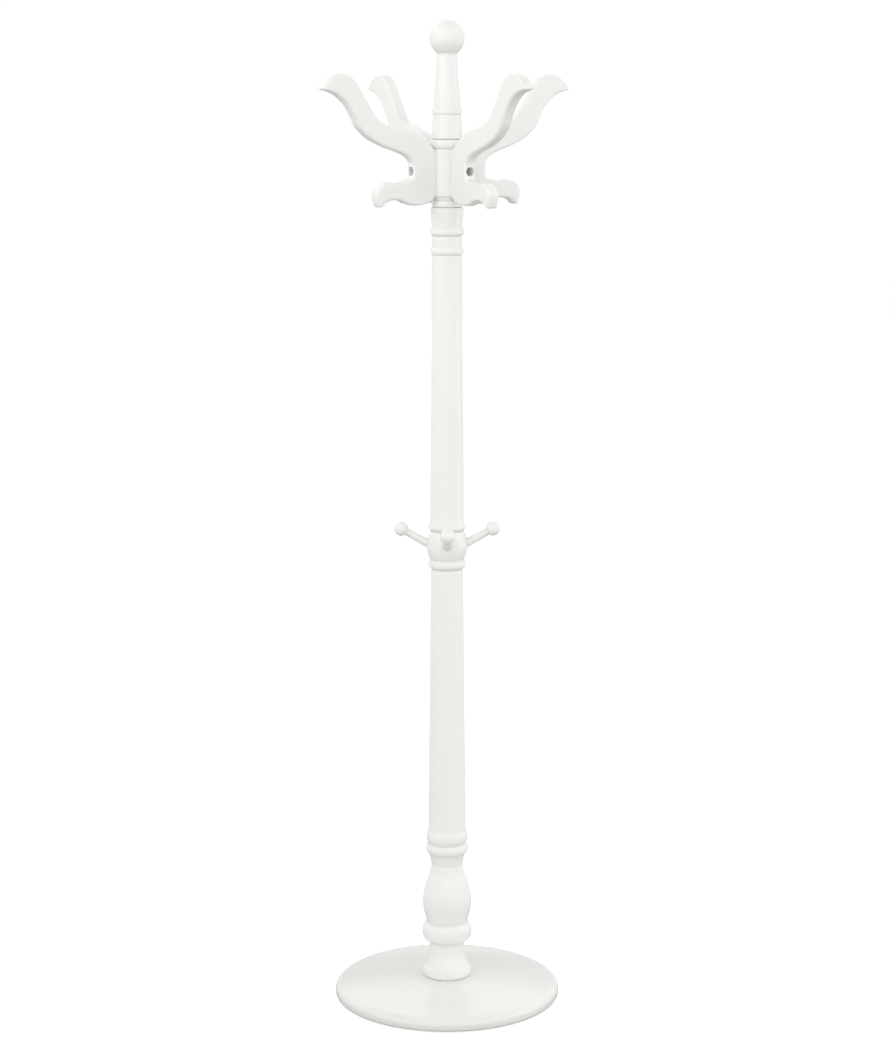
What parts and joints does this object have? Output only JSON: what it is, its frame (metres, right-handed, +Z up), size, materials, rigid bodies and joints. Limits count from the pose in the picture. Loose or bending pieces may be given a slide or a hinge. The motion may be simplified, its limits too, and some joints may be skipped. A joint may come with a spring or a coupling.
{
  "type": "standing coat rack",
  "caption": "White lacquered wooden standing coat rack: turned post on a round base, double hooks around its head, turned pegs midway and a ball finial.",
  "frame": {"origin": "centre of the round base, on the floor under its glides", "axes": "+Z up along the post; the four double hooks point along -X, -Y, +X and +Y"},
  "size_m": [0.515, 0.515, 1.8],
  "materials": {
    "white_lacquer": "semi-gloss white lacquer over turned hardwood",
    "zinc_steel": "bright zinc plated",
    "brass": "plain turned brass",
    "beech": "bare beech dowel",
    "nylon": "matt moulded nylon"
  },
  "bodies": {
    "root": {"finial": "white_lacquer", "head_hub": "white_lacquer", "upper_shaft": "white_lacquer", "peg_barrel": "white_lacquer", "lower_shaft": "white_lacquer", "baluster": "white_lacquer", "base_disc": "white_lacquer", "hook_1": "white_lacquer", "hook_2": "white_lacquer", "hook_3": "white_lacquer", "hook_4": "white_lacquer", "hook_bolt_1": "zinc_steel", "hook_bolt_2": "zinc_steel", "hook_bolt_3": "zinc_steel", "hook_bolt_4": "zinc_steel", "hook_insert_1": "brass", "hook_insert_2": "brass", "hook_insert_3": "brass", "hook_insert_4": "brass", "hook_dowel_1": "beech", "hook_dowel_2": "beech", "hook_dowel_3": "beech", "hook_dowel_4": "beech", "peg_1": "white_lacquer", "peg_2": "white_lacquer", "peg_3": "white_lacquer", "peg_4": "white_lacquer", "stud_under_finial": "zinc_steel", "stud_under_hub": "zinc_steel", "stud_under_upper_shaft": "zinc_steel", "stud_under_barrel": "zinc_steel", "stud_under_lower_shaft": "zinc_steel", "insert_under_finial": "brass", "insert_under_hub": "brass", "insert_under_upper_shaft": "brass", "insert_under_barrel": "brass", "insert_under_lower_shaft": "brass", "insert_in_foot": "brass", "base_bolt": "zinc_steel", "base_washer": "zinc_steel", "glide_1": "nylon", "glide_2": "nylon", "glide_3": "nylon", "glide_4": "nylon"}
  },
  "joints": []
}
